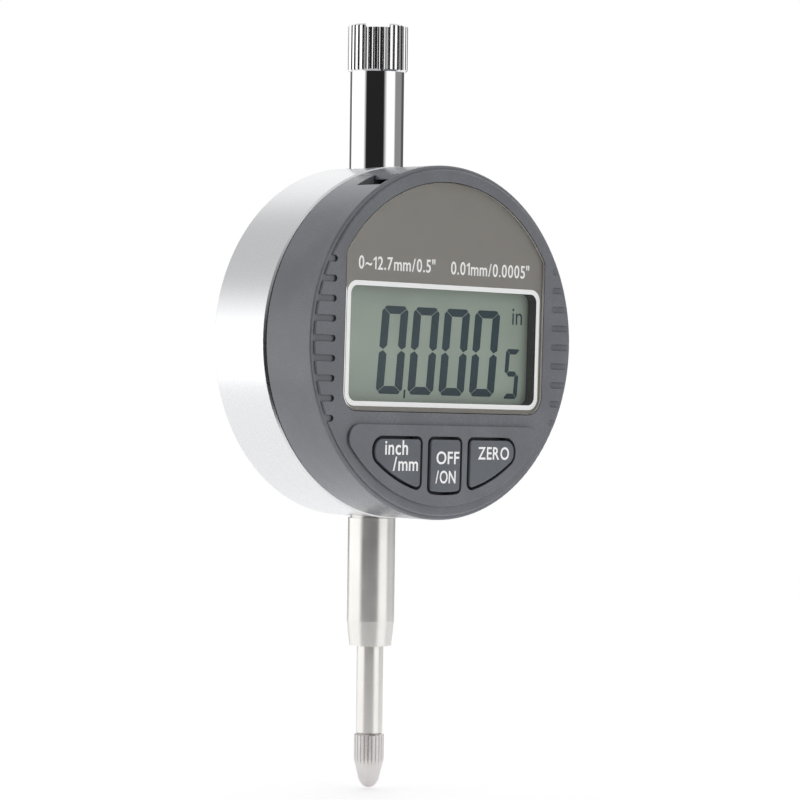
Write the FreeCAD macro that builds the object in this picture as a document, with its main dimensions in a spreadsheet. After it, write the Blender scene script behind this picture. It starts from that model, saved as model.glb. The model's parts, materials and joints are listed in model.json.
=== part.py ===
"""A digital dial indicator with a 58 mm body, an 8 mm stem and 12.7 mm of travel.

Row frame, in millimetres: +X to the right of somebody who faces the display, +Y away from them,
+Z up. The origin is on the spindle's axis, in the middle of the stem's clamping cylinder.
The parts of the case and the face are drawn in a front view of their own: x to the right, y up,
z towards the reader, about the centre of the round body.
"""

import FreeCAD, Part
import math
import os
import re
import Sketcher
from FreeCAD import Placement, Rotation, Vector

doc = FreeCAD.newDocument("DialIndicator")

# ---------------------------------------------------------------------------------------------
# Driving dimensions
# ---------------------------------------------------------------------------------------------

SIZES = {
    # the whole instrument
    "stroke": 12.7,  # travel of the spindle
    "dial_height": 38.0,  # centre of the round body above the origin
    "face_turn": 1.18,  # degrees that the face stands turned, clockwise for the reader
    "seat_back": 6.6,  # the shell's rear edge, in front of the spindle's axis
    "running": 0.05,  # radial clearance of a running fit
    "gap": 0.1,  # clearance between fixed neighbours
    "over": 1.0,  # how far a cutting tool passes the faces it opens
    # case ring
    "case_radius": 29.33,
    "case_front": 6.15,
    "case_back": 6.77,
    "case_bore": 27.0,
    "case_edge": 0.3,
    "rabbet_radius": 28.3,
    "rabbet_depth": 1.8,
    "lip_radius": 24.56,
    "lip_thickness": 1.2,
    "boss_half_width": 6.5,
    "boss_reach": 22.0,  # the inner end of the lower boss, which carries the stem
    "upper_reach": 21.5,  # the inner end of the upper boss, which carries the tube
    "boss_front": 3.45,
    "cover_screw_circle": 24.9,
    "cover_boss_radius": 2.4,
    "cover_boss_front": 3.0,
    "post_offset": 15.5,
    "post_radius": 2.0,
    "post_front": 4.4,
    "post_tap": 4.0,
    "web_half_height": 2.0,
    "spot_height": 29.0,  # the flats on the ring where the stem and the tube seat
    "spot_margin": 0.4,
    "shank_radius": 3.5,
    "shank_height": 26.4,
    "bush_radius": 2.9,
    # back cover and its lug
    "cover_radius": 28.25,
    "cover_edge": 0.3,
    "pad_radius": 9.5,
    "pad_height": 0.8,
    "lug_half_thickness": 2.75,
    "lug_radius": 6.0,
    "lug_hole_radius": 3.25,
    "lug_reach": 15.27,  # the lug's hole behind the spindle's axis
    "screw_head_radius": 2.0,
    "screw_radius": 0.8,
    "screw_clear_radius": 1.0,
    "screw_length": 5.5,
    "recess_width": 0.5,
    "recess_length": 2.2,
    "recess_depth": 0.6,
    # stem
    "stem_radius": 4.0,
    "stem_low": -8.8,
    "nose_low": -13.0,
    "nose_radius": 3.55,
    "relief_height": 0.5,  # grinding relief under the ring's flat
    "relief_depth": 0.4,
    "stem_bore": 2.45,
    "lower_bush_radius": 3.0,
    "lower_bush_top": -3.0,
    "lower_bush_low": -12.8,
    # cover tube and cap
    "tube_radius": 4.55,
    "tube_bore": 2.6,
    "tube_top": 83.3,
    "spigot_radius": 3.9,
    "spigot_height": 3.0,
    "spigot_gap": 0.5,
    "cap_radius": 5.1,
    "cap_top": 91.2,
    "cap_edge": 0.3,
    "cap_headroom": 1.2,  # above the spindle at the end of its travel
    "cap_inside": 3.0,
    "cap_flutes": 36,
    "flute_width": 0.7,
    "flute_depth": 0.19,
    "cap_slot_width": 3.9,
    "cap_slot_depth": 0.6,
    "cap_slot_turn": 48.0,
    # spindle
    "spindle_radius": 2.25,
    "spindle_low": -27.9,
    "spindle_upper_radius": 2.0,
    "spindle_top": 75.0,
    "spindle_edge": 0.2,
    "thread_radius": 1.25,
    "thread_length": 4.5,
    "contact_radius": 2.55,
    "contact_knurl_low": -32.2,
    "contact_nose_low": -35.8,
    "contact_nose_radius": 1.65,
    "contact_edge": 0.2,
    "contact_flutes": 24,
    "contact_flute_width": 0.4,
    "contact_flute_depth": 0.22,
    "ball_radius": 1.6,
    "tip_low": -37.0,
    # slider, scale, guide and spring
    "slider_low": 17.5,
    "slider_height": 16.0,
    "slider_half_width": 6.0,
    "slider_front": 3.45,
    "slider_back": 3.4,
    "slit_width": 0.6,
    "slit_start": 1.5,
    "clamp_screw_back": 2.75,
    "clamp_screw_radius": 0.6,
    "clamp_screw_reach": 4.5,
    "clamp_head_radius": 0.65,
    "clamp_head_height": 0.8,
    "rod_radius": 1.0,
    "rod_offset": 4.3,
    "rod_engagement": 2.0,
    "scale_half_width": 3.6,
    "scale_length": 26.0,
    "scale_thickness": 0.7,
    "bumper_radius": 3.1,
    "bumper_bore": 2.35,
    "spring_radius": 2.5,
    "spring_wire": 0.2,
    "spring_turns": 12,
    # encoder's reading head
    "head_half_width": 17.6,
    "head_low": -10.5,
    "head_top": 13.0,
    "head_thickness": 0.8,
    "chip_half_width": 3.5,
    "chip_low": -8.5,
    "chip_height": 5.0,
    "chip_thickness": 0.9,
    "pan_head_radius": 1.5,
    "pan_head_height": 0.6,
    "ribbon_half_width": 3.0,
    "ribbon_thickness": 0.15,
    "ribbon_foot": 1.8,
    "ribbon_front": 11.35,
    # the seam
    "seam_inner": 24.7,
    "seam_outer": 28.8,
    "pin_circle": 25.8,
    "pin_radius": 0.8,
    "pin_front": 7.4,
    "turn_each_way": 135.0,
    "stop_margin": 0.2,  # degrees between the stop pin and the land at either end
    # turntable and retaining ring, measured forwards from the shell's rear edge
    "plate_thickness": 1.0,
    "plate_radius": 24.9,
    "land_radius": 27.0,
    "plate_hole": 5.0,
    "ring_bore": 22.3,
    "hub_radius": 24.5,
    "ring_radius": 26.2,
    "ring_front": -1.7,
    "ring_back": -2.4,
    "ring_screw_circle": 23.4,
    "ring_screw_turn": 40.0,
    "ring_screw_front": 5.0,
    # front shell
    "shell_radius": 29.2,
    "shell_bore": 27.2,
    "shoulder": 10.8,
    "rim_radius": 28.55,
    "rim_front": 11.2,
    "rim_round": 0.3,
    "shoulder_round": 0.35,
    "wall_back": 9.1,
    "panel_front": 11.7,
    "panel_edge": 0.12,
    "panel_radius": 26.9,
    "panel_top": -13.6,
    "panel_corner": 2.3,
    "groove_count": 4,  # grooves above and below the middle one
    "groove_pitch": 3.2,
    "groove_width": 1.1,
    "groove_start": 24.2,
    "shell_boss_radius": 1.9,
    "board_boss_radius": 1.1,
    "board_screw_radius": 0.5,
    "board_screw_head": 1.0,
    "board_screw_front": 8.0,
    "board_screw_upper_x": 13.0,
    "board_screw_upper_y": 13.9,
    "board_screw_lower_x": 9.5,
    "board_screw_lower_y": -13.87,
    "nail_start": 30.0,  # degrees left of the top, where the fingernail recess begins
    "nail_end": 21.0,
    "nail_depth": 1.95,
    "nail_back": 4.4,
    "nail_front": 10.2,
    # lens
    "lens_half_width": 22.25,
    "lens_radius": 26.35,
    "lens_low": -11.45,
    "lens_corner": 3.0,
    "lens_back": 10.3,
    "lens_front": 11.3,
    "lens_edge": 0.1,
    "lens_gap": 0.12,
    # display
    "window_half_width": 20.9,
    "window_half_height": 9.35,
    "window_middle": -0.535,
    "window_corner": 1.6,
    "holder_half_width": 23.2,
    "holder_half_height": 12.1,
    "holder_lip": 8.4,
    "collar_wall": 0.6,  # the holder's rim, which lines the window up to the lens
    "glass_half_width": 22.5,
    "glass_half_height": 11.35,
    "glass_front": 8.35,
    "glass_back": 6.55,
    "strip_half_width": 21.0,
    "strip_height": 1.5,
    "board_back": 4.95,
    "board_front": 5.75,
    "board_radius": 26.8,
    "board_low": -24.6,
    "board_top": 15.6,
    "board_notch": 2.3,
    "blob_radius": 4.0,
    "blob_top_radius": 3.0,
    "blob_height": 1.1,
    "blob_low": -10.0,
    "dome_radius": 2.2,
    "dome_height": 0.6,
    "dome_top_radius": 1.2,
    "dome_top_height": 0.4,
    # buttons
    "button_travel": 0.6,
    "button_front": 11.9,
    "button_back": 9.0,
    "button_gap": 0.5,
    "button_flange": 0.75,
    "flange_front": 9.05,
    "flange_back": 8.35,
    "plunger_radius": 1.4,
    "button_round": 0.25,
    "button_top": -15.91,
    "button_arc": 24.55,  # the buttons end on an arc about the centre of the round body
    "side_inner": 5.54,
    "side_outer": 15.64,
    "middle_half_width": 3.37,
    "inner_corner": 0.7,
    "outer_corner": 1.8,
    "side_plunger_x": 9.3,
    "side_plunger_y": -18.8,
    "middle_plunger_y": -20.4,
    # battery drawer and cell
    "lid_half_width": 10.65,
    "lid_inner": 27.25,
    "lid_back": 1.05,
    "lid_front": 9.65,
    "lid_notch_reach": 8.6,  # the hollow under the lid's edge that the fingernail catches
    "lid_notch_top": 26.4,
    "slot_half_width": 10.75,
    "slot_back": 1.0,
    "slot_front": 9.7,
    "tray_back": 1.1,
    "tray_front": 4.7,
    "tray_floor": 1.5,
    "arm_inner": 10.05,
    "arm_low": 6.6,
    "floor_low": 7.5,
    "floor_top": 26.5,
    "arm_top": 25.4,
    "cell_radius": 10.0,
    "cell_height": 16.4,
    "cell_step_radius": 8.8,
    "cell_step": 4.2,
    "contact_half_width": 3.0,
    "contact_thickness": 0.15,
    "leaf_low": 6.0,
    "leaf_thickness": 0.25,
    "leaf_back": 1.7,
    "pad_low": 6.6,
    "pad_top": 13.0,
}

sheet = doc.addObject("Spreadsheet::Sheet", "sheet")
for row, (alias, size) in enumerate(SIZES.items(), start=1):
    sheet.set("A%d" % row, alias.replace("_", " "))
    sheet.set("B%d" % row, str(size))
    sheet.setAlias("B%d" % row, alias)
doc.recompute()


def bound(expression):
    """The expression with each dimension's name pointing at its cell."""
    return re.sub(r"[a-z]\w+", lambda word: "sheet." + word[0] if word[0] in SIZES else word[0], expression)


def number(expression):
    """What an expression comes to, in millimetres or degrees."""
    found = sheet.evalExpression(bound(expression))
    return float(getattr(found, "Value", found))


# ---------------------------------------------------------------------------------------------
# Shapes that every section uses. Their sizes are expressions over the sheet.
# ---------------------------------------------------------------------------------------------

ALONG_X = Rotation(Vector(0, 1, 0), 90)
ALONG_Y = Rotation(Vector(1, 0, 0), -90)
ALONG_Z = Rotation()
FRONT_VIEW = Rotation(Vector(1, 0, 0), 90)


def move(thing, x="0", y="0", z="0", rotation=ALONG_Z):
    """Turns a shape and puts it at three expressions."""
    thing.Placement = Placement(Vector(number(x), number(y), number(z)), rotation)
    for axis, expression in (("x", x), ("y", y), ("z", z)):
        thing.setExpression("Placement.Base." + axis, bound(expression))
    return thing


def cylinder(name, radius, low, high, x="0", y="0", along="z"):
    """A round bar from low to high along one axis; x and y place it across that axis."""
    bar = doc.addObject("Part::Cylinder", name)
    bar.setExpression("Radius", bound(radius))
    bar.setExpression("Height", bound("(%s) - (%s)" % (high, low)))
    if along == "x":
        return move(bar, low, x, y, ALONG_X)
    if along == "y":
        return move(bar, x, low, y, ALONG_Y)
    return move(bar, x, y, low)


def block(name, x_span, y_span, z_span):
    """A box between three pairs of expressions."""
    box = doc.addObject("Part::Box", name)
    for side, (low, high) in zip(("Length", "Width", "Height"), (x_span, y_span, z_span)):
        box.setExpression(side, bound("(%s) - (%s)" % (high, low)))
    return move(box, x_span[0], y_span[0], z_span[0])


def both_sides(size):
    """The span from minus a size to plus it."""
    return ("-(%s)" % size, size)


def draw(sketch, points):
    """A closed outline of straight runs, each corner tied to its two expressions."""
    corners = [Vector(number(x), number(y), 0) for x, y in points]
    for index, corner in enumerate(corners):
        sketch.addGeometry(Part.LineSegment(corner, corners[(index + 1) % len(corners)]), False)
    for index in range(len(corners)):
        joint = Sketcher.Constraint("Coincident", index, 2, (index + 1) % len(corners), 1)
        sketch.addConstraint(joint)
    for index, (corner, point) in enumerate(zip(corners, points)):
        for kind, value, expression in zip(("DistanceX", "DistanceY"), corner, point):
            place = sketch.addConstraint(Sketcher.Constraint(kind, -1, 1, index, 1, value))
            sketch.setExpression("Constraints[%d]" % place, bound(expression))


def sketch_in(body, name, role, points):
    """A sketch on one of the body's own origin planes."""
    sketch = body.newObject("Sketcher::SketchObject", name)
    plane = next(feature for feature in body.Origin.OriginFeatures if feature.Role == role)
    sketch.AttachmentSupport = (plane, [""])
    sketch.MapMode = "FlatFace"
    draw(sketch, points)
    return sketch


def turned(name, points):
    """A body turned about its Z axis; its profile's points are (radius, height)."""
    body = doc.addObject("PartDesign::Body", name)
    profile = sketch_in(body, name + "_profile", "XZ_Plane", points)
    revolution = body.newObject("PartDesign::Revolution", name + "_turned")
    revolution.Profile = profile
    revolution.ReferenceAxis = (profile, ["V_Axis"])
    doc.recompute()
    return body


def padded(name, points, low, high):
    """A body padded from low to high, its outline drawn in the XY plane."""
    body = doc.addObject("PartDesign::Body", name)
    outline = sketch_in(body, name + "_outline", "XY_Plane", points)
    outline.setExpression("AttachmentOffset.Base.z", bound(low))
    pad = body.newObject("PartDesign::Pad", name + "_pad")
    pad.Profile = outline
    pad.setExpression("Length", bound("(%s) - (%s)" % (high, low)))
    doc.recompute()
    return body


def rounded(body, name, radius, wanted):
    """Rounds the edges of a body that wanted(edge) picks."""
    edges = ["Edge%d" % (index + 1) for index, edge in enumerate(body.Shape.Edges) if wanted(edge)]
    base = body.Tip
    fillet = body.newObject("PartDesign::Fillet", name)
    fillet.Base = (base, edges)
    fillet.setExpression("Radius", bound(radius))
    doc.recompute()
    return body


def stands(edge):
    """Whether an edge is straight and runs along Z."""
    ends = [vertex.Point for vertex in edge.Vertexes]
    return len(ends) == 2 and (ends[1] - ends[0]).cross(Vector(0, 0, 1)).Length < 1e-6


def stands_near(x, y):
    """Picks the standing edge over the point at two expressions."""
    spot = Vector(number(x), number(y), 0)
    return lambda edge: stands(edge) and math.hypot(*(edge.Vertexes[0].Point - spot)[:2]) < 1e-3


def edged(kind, name, base, size, wanted):
    """A Part shape with a Fillet or a Chamfer on the edges that wanted(edge) picks."""
    result = doc.addObject("Part::" + kind, name)
    result.Base = base
    width = number(size)
    picks = [index + 1 for index, edge in enumerate(base.Shape.Edges) if wanted(edge)]
    result.Edges = [(index, width, width) for index in picks]
    return result


def lies_at(height):
    """Picks the edges that lie whole in the plane z = height."""
    level = number(height)
    return lambda edge: edge.BoundBox.ZLength < 1e-6 and abs(edge.BoundBox.ZMin - level) < 1e-6


def fused(name, *pieces):
    result = doc.addObject("Part::MultiFuse", name)
    result.Shapes = list(pieces)
    return result


def shared(name, *pieces):
    result = doc.addObject("Part::MultiCommon", name)
    result.Shapes = list(pieces)
    return result


def cut(name, base, *tools):
    result = doc.addObject("Part::Cut", name)
    result.Base = base
    result.Tool = tools[0] if len(tools) == 1 else fused(name + "_tools", *tools)
    return result


def group(name, pieces):
    """Separate solids that share one node."""
    result = doc.addObject("Part::Compound", name)
    result.Links = pieces
    return result


NODES = []


def keep(piece):
    """Marks a sub-part that is finished in the row frame."""
    NODES.append(piece)
    return piece


def on_case(piece):
    """Finishes a part of the case: its front view stands about the round body's centre."""
    return keep(move(piece, "0", "0", "dial_height", FRONT_VIEW))


def on_face(piece):
    """Finishes a part of the face: as on_case, but turned, and from the shell's rear edge."""
    turn = Rotation(Vector(0, 1, 0), number("face_turn"))
    return keep(move(piece, "0", "-seat_back", "dial_height", turn.multiply(FRONT_VIEW)))


def around(radius, angle):
    """Two expressions for the point at an angle in degrees from the x axis."""
    return "%s * cos(%g deg)" % (radius, angle), "%s * sin(%g deg)" % (radius, angle)


def flutes(body, name, count, radius, width, depth, low, high):
    """Straight V grooves round a body's outside, as a patterned pocket."""
    plane = [("-%s / 2" % width, "%s + gap" % radius), ("0", "%s - %s" % (radius, depth))]
    plane.append(("%s / 2" % width, "%s + gap" % radius))
    groove = sketch_in(body, name + "_outline", "XY_Plane", plane)
    groove.setExpression("AttachmentOffset.Base.z", bound(low))
    pocket = body.newObject("PartDesign::Pocket", name)
    pocket.Profile = groove
    pocket.Reversed = True
    pocket.setExpression("Length", bound("(%s) - (%s)" % (high, low)))
    pattern = body.newObject("PartDesign::PolarPattern", name + "_pattern")
    pattern.Originals = [pocket]
    pattern.Axis = (groove, ["N_Axis"])
    pattern.Angle = 360
    pattern.setExpression("Occurrences", bound(count))
    body.Tip = pattern
    doc.recompute()
    return body


# ---------------------------------------------------------------------------------------------
# Case
# ---------------------------------------------------------------------------------------------

QUARTERS = (45, 135, 225, 315)


def make_case_ring():
    inner_back = "-(case_back - rabbet_depth)"
    lip_back = "case_front - lip_thickness"
    ring = turned("case_ring_wall", [
        ("lip_radius", "case_front"),
        ("case_radius - case_edge", "case_front"),
        ("case_radius", "case_front - case_edge"),
        ("case_radius", "-(case_back - case_edge)"),
        ("case_radius - case_edge", "-case_back"),
        ("rabbet_radius", "-case_back"),
        ("rabbet_radius", inner_back),
        ("case_bore", inner_back),
        ("case_bore", lip_back),
        ("lip_radius", lip_back),
    ])
    depth = (inner_back, "boss_front")
    reach = "case_bore + over"
    solids = [ring]
    solids.append(block("lower_boss", both_sides("boss_half_width"), ("-(%s)" % reach, "-boss_reach"), depth))
    solids.append(block("upper_boss", both_sides("boss_half_width"), ("upper_reach", reach), depth))
    cuts = []
    for index, angle in enumerate(QUARTERS):
        x, y = around("cover_screw_circle", angle)
        boss = cylinder("cover_boss%d" % index, "cover_boss_radius", inner_back, "cover_boss_front", x, y)
        solids.append(boss)
        hole_front = "screw_length - case_back"
        cuts.append(cylinder("cover_tap%d" % index, "screw_radius", "-case_back", hole_front, x, y))
    for side, name in (("-", "left"), ("", "right")):
        offset = side + "post_offset"
        span = sorted((offset, "%s(%s)" % (side, reach)), key=number)
        solids.append(block(name + "_web", span, both_sides("web_half_height"), depth))
        solids.append(cylinder(name + "_post", "post_radius", inner_back, "post_front", offset))
        tap = cylinder(name + "_post_tap", "screw_radius", "post_front - post_tap", "post_front", offset)
        cuts.append(tap)
    for side, name in (("-", "stem"), ("", "tube")):
        seat = "stem_radius" if name == "stem" else "tube_radius"
        for part, radius, inner, outer in (
            ("spot", seat + " + spot_margin", "spot_height", "case_radius + over"),
            ("thread", "shank_radius", "shank_height", "spot_height"),
            ("seat", "bush_radius", "upper_reach - over", "shank_height"),
        ):
            low, high = sorted(("%s(%s)" % (side, inner), "%s(%s)" % (side, outer)), key=number)
            cuts.append(cylinder(name + "_" + part, radius, low, high, along="y"))
    rod_ends = ("-(boss_reach + rod_engagement)", "upper_reach + rod_engagement")
    cuts.append(cylinder("rod_hole", "rod_radius", rod_ends[0], rod_ends[1], "rod_offset", along="y"))
    cuts.append(cylinder("pin_hole", "pin_radius", lip_back, "case_front", "0", "-pin_circle"))
    on_case(cut("case_ring", fused("case_ring_solid", *solids), *cuts))


def make_back_cover():
    plate = turned("cover_plate", [
        ("0", "-(case_back - rabbet_depth)"),
        ("cover_radius", "-(case_back - rabbet_depth)"),
        ("cover_radius", "-(case_back - cover_edge)"),
        ("cover_radius - cover_edge", "-case_back"),
        ("pad_radius + pad_height", "-case_back"),
        ("pad_radius", "-(case_back + pad_height)"),
        ("0", "-(case_back + pad_height)"),
    ])
    lug_x = both_sides("lug_half_thickness")
    lug = block("lug_arm", lug_x, both_sides("lug_radius"), ("-lug_reach", "-case_back"))
    end = cylinder("lug_end", "lug_radius", lug_x[0], lug_x[1], "0", "-lug_reach", along="x")
    cuts = [cylinder("lug_hole", "lug_hole_radius", lug_x[0], lug_x[1], "0", "-lug_reach", along="x")]
    for index, angle in enumerate(QUARTERS):
        sink = turned("cover_sink%d" % index, [
            ("0", "-(case_back - rabbet_depth) + over"),
            ("screw_clear_radius", "-(case_back - rabbet_depth) + over"),
            ("screw_clear_radius", "-case_back + screw_head_radius - screw_clear_radius + gap"),
            ("screw_head_radius + gap", "-case_back"),
            ("screw_head_radius + gap", "-case_back - over"),
            ("0", "-case_back - over"),
        ])
        x, y = around("cover_screw_circle", angle)
        cuts.append(move(sink, x, y))
    on_case(cut("back_cover", fused("back_cover_solid", plate, lug, end), *cuts))


def cross_recess(name, x, y, low, high):
    """The two crossing slots of a screw's drive."""
    half = both_sides("recess_width / 2")
    arm = both_sides("recess_length / 2")
    first = block(name + "_first", arm, half, ("0", "(%s) - (%s)" % (high, low)))
    second = block(name + "_second", half, arm, ("0", "(%s) - (%s)" % (high, low)))
    return move(fused(name, first, second), x, y, low)


def make_back_screws():
    screws = []
    for index, angle in enumerate(QUARTERS):
        x, y = around("cover_screw_circle", angle)
        screw = turned("back_screw%d_blank" % index, [
            ("0", "-case_back + gap"),
            ("screw_head_radius", "-case_back + gap"),
            ("screw_radius", "-case_back + screw_head_radius - screw_radius + gap"),
            ("screw_radius", "screw_length - case_back"),
            ("0", "screw_length - case_back"),
        ])
        move(screw, x, y)
        drive = cross_recess("back_drive%d" % index, x, y, "-case_back", "recess_depth - case_back")
        screws.append(cut("back_screw%d" % index, screw, drive))
    on_case(group("back_screws", screws))


def make_stem():
    seat = "dial_height - spot_height"
    relief = seat + " - relief_height"
    shank = "dial_height - shank_height"
    keep(turned("stem", [
        ("lower_bush_radius", "nose_low"),
        ("nose_radius", "nose_low"),
        ("stem_radius", "stem_low"),
        ("stem_radius", relief),
        ("stem_radius - relief_depth", relief),
        ("stem_radius - relief_depth", seat),
        ("shank_radius", seat),
        ("shank_radius", shank),
        ("bush_radius", shank),
        ("bush_radius", "dial_height - boss_reach"),
        ("stem_bore", "dial_height - boss_reach"),
        ("stem_bore", "lower_bush_top"),
        ("lower_bush_radius", "lower_bush_top"),
    ]))


def sleeve(name, inner, outer, low, high):
    """A plain tube along Z, made of its two cylinders."""
    outside = cylinder(name + "_outside", outer, low, high)
    bore = cylinder(name + "_bore", inner, low, high)
    return keep(cut(name, outside, bore))


def make_bushes():
    lower_bore = "spindle_radius + running"
    sleeve("lower_bush", lower_bore, "lower_bush_radius", "lower_bush_low", "lower_bush_top")
    upper_bore = "spindle_upper_radius + running"
    upper_low = "dial_height + upper_reach"
    sleeve("upper_bush", upper_bore, "bush_radius", upper_low, "dial_height + shank_height")


def make_cover_tube():
    shank = "dial_height + shank_height"
    seat = "dial_height + spot_height"
    keep(turned("cover_tube", [
        ("tube_bore", shank),
        ("shank_radius", shank),
        ("shank_radius", seat),
        ("tube_radius", seat),
        ("tube_radius", "tube_top"),
        ("spigot_radius", "tube_top"),
        ("spigot_radius", "tube_top + spigot_height"),
        ("tube_bore", "tube_top + spigot_height"),
    ]))


def make_top_cap():
    roof = "spindle_top + stroke + cap_headroom"
    seat = "tube_top + spigot_height + spigot_gap"
    cap = turned("top_cap_blank", [
        ("spigot_radius", "tube_top"),
        ("cap_radius - cap_edge", "tube_top"),
        ("cap_radius", "tube_top + cap_edge"),
        ("cap_radius", "cap_top - cap_edge"),
        ("cap_radius - cap_edge", "cap_top"),
        ("0", "cap_top"),
        ("0", roof),
        ("cap_inside", roof),
        ("cap_inside", seat),
        ("spigot_radius", seat),
    ])
    flutes(cap, "cap_knurl", "cap_flutes", "cap_radius", "flute_width", "flute_depth", "tube_top", "cap_top")
    slot_z = ("cap_top - cap_slot_depth", "cap_top + over")
    slot = block("cap_slot", both_sides("cap_radius + over"), both_sides("cap_slot_width / 2"), slot_z)
    turn = Rotation(Vector(0, 0, 1), number("cap_slot_turn"))
    turned_slot = move(group("cap_slot_turned", [slot]), rotation=turn)
    keep(cut("top_cap", cap, turned_slot))


def make_guide_and_stop():
    low = "dial_height - boss_reach - rod_engagement"
    high = "dial_height + upper_reach + rod_engagement"
    keep(cylinder("guide_rod", "rod_radius", low, high, "rod_offset"))
    sleeve("bumper", "bumper_bore", "bumper_radius", "dial_height - boss_reach", "slider_low")
    on_case(group("stop_pin", [
        cylinder("stop_pin_bar", "pin_radius", "case_front - lip_thickness", "pin_front", "0", "-pin_circle"),
    ]))


def make_return_spring():
    helix = doc.addObject("Part::Helix", "spring_path")
    low = "slider_low + slider_height + spring_wire"
    high = "dial_height + upper_reach - spring_wire"
    helix.setExpression("Height", bound("(%s) - (%s)" % (high, low)))
    helix.setExpression("Pitch", bound("((%s) - (%s)) / spring_turns" % (high, low)))
    helix.setExpression("Radius", bound("spring_radius"))
    wire = doc.addObject("Part::Circle", "spring_section")
    wire.setExpression("Radius", bound("spring_wire"))
    move(wire, "spring_radius", "0", "0", FRONT_VIEW)
    doc.recompute()
    spring = doc.addObject("Part::Sweep", "return_spring")
    spring.Sections = [wire]
    spring.Spine = (helix, ["Edge1"])
    spring.Solid = True
    spring.Frenet = True
    keep(move(spring, "0", "0", low))


def make_encoder_head():
    back = "post_front"
    front = "post_front + head_thickness"
    board = block("head_board", both_sides("head_half_width"), ("head_low", "head_top"), (back, front))
    holes = []
    screws = []
    for side, name in (("-", "left"), ("", "right")):
        offset = side + "post_offset"
        holes.append(cylinder(name + "_head_hole", "screw_radius", back, front, offset))
        shank = cylinder(name + "_head_shank", "screw_radius", "post_front - post_tap", front, offset)
        top = "%s + pan_head_height" % front
        head = cylinder(name + "_head_head", "pan_head_radius", front, top, offset)
        drive = cross_recess(name + "_head_drive", offset, "0", top + " - recess_depth / 2", top)
        screws.append(cut(name + "_head_screw", fused(name + "_head_solid", shank, head), drive))
    on_case(cut("encoder_board", board, *holes))
    on_case(group("encoder_screws", screws))
    chip_span = ("chip_low", "chip_low + chip_height")
    chip_z = (front, front + " + chip_thickness")
    on_case(group("encoder_chip", [block("chip_body", both_sides("chip_half_width"), chip_span, chip_z)]))
    width = both_sides("ribbon_half_width")
    tape = "ribbon_thickness"
    on_case(fused(
        "ribbon_cable",
        block("ribbon_rear", width, ("-ribbon_foot", "0"), (front, "%s + %s" % (front, tape))),
        block("ribbon_run", width, ("-" + tape, "0"), (front, "ribbon_front")),
        block("ribbon_fore", width, ("-" + tape, "ribbon_foot"), ("ribbon_front - " + tape, "ribbon_front")),
    ))


def make_friction_ring():
    outside = cylinder("seam_outside", "seam_outer", "case_front", "seat_back")
    bore = cylinder("seam_bore", "seam_inner", "case_front", "seat_back")
    hole = cylinder("seam_pin_hole", "pin_radius", "case_front", "seat_back", "0", "-pin_circle")
    on_case(cut("friction_ring", outside, bore, hole))


# ---------------------------------------------------------------------------------------------
# Spindle, and what slides with it
# ---------------------------------------------------------------------------------------------


def make_spindle():
    hole_top = "spindle_low + thread_length + gap"
    keep(turned("spindle", [
        ("thread_radius", "spindle_low"),
        ("spindle_radius - spindle_edge", "spindle_low"),
        ("spindle_radius", "spindle_low + spindle_edge"),
        ("spindle_radius", "slider_low"),
        ("spindle_upper_radius", "slider_low"),
        ("spindle_upper_radius", "spindle_top - spindle_edge"),
        ("spindle_upper_radius - spindle_edge", "spindle_top"),
        ("0", "spindle_top"),
        ("0", hole_top),
        ("thread_radius", hole_top),
    ]))


def make_contact():
    blank = turned("contact_blank", [
        ("0", "contact_nose_low"),
        ("contact_nose_radius", "contact_nose_low"),
        ("contact_radius", "contact_knurl_low"),
        ("contact_radius", "spindle_low - contact_edge"),
        ("contact_radius - contact_edge", "spindle_low"),
        ("thread_radius", "spindle_low"),
        ("thread_radius", "spindle_low + thread_length"),
        ("0", "spindle_low + thread_length"),
    ])
    flutes(
        blank, "contact_knurl", "contact_flutes", "contact_radius", "contact_flute_width",
        "contact_flute_depth", "contact_knurl_low - over", "spindle_low",
    )
    seat = doc.addObject("Part::Sphere", "ball_seat")
    ball = doc.addObject("Part::Sphere", "contact_ball")
    for sphere in (seat, ball):
        sphere.setExpression("Radius", bound("ball_radius"))
        move(sphere, "0", "0", "tip_low + ball_radius")
    keep(cut("contact_point", blank, seat))
    keep(ball)


def make_slider():
    top = "slider_low + slider_height"
    height = ("slider_low", top)
    low, high = "-clamp_screw_reach", "slider_half_width"
    place = ("clamp_screw_back", "slider_low + slider_height / 2")
    body = block("slider_solid", both_sides("slider_half_width"), ("-slider_front", "slider_back"), height)
    keep(cut(
        "slider_block",
        body,
        cylinder("slider_bore", "spindle_upper_radius", "slider_low", top),
        cylinder("slider_guide", "rod_radius + running", "slider_low", top, "rod_offset"),
        block("slider_slit", both_sides("slit_width / 2"), ("slit_start", "slider_back"), height),
        cylinder("slider_tap", "clamp_screw_radius", low, high, *place, along="x"),
    ))
    head_end = "slider_half_width + clamp_head_height"
    shank = cylinder("clamp_shank", "clamp_screw_radius", low, high, *place, along="x")
    head = cylinder("clamp_head", "clamp_head_radius", high, head_end, *place, along="x")
    keep(fused("slider_screw", shank, head))
    depth = ("-slider_front - scale_thickness", "-slider_front")
    scale_z = ("slider_low", "slider_low + scale_length")
    keep(block("encoder_scale", both_sides("scale_half_width"), depth, scale_z))


# ---------------------------------------------------------------------------------------------
# Face
# ---------------------------------------------------------------------------------------------

SIDES = (("left", "-"), ("right", ""))


# each button's two sides, and the place of its plunger
BUTTONS = {
    "unit_button": (("-side_outer", "-side_inner"), "-side_plunger_x", "side_plunger_y"),
    "power_button": (both_sides("middle_half_width"), "0", "middle_plunger_y"),
    "zero_button": (("side_inner", "side_outer"), "side_plunger_x", "side_plunger_y"),
}


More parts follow.
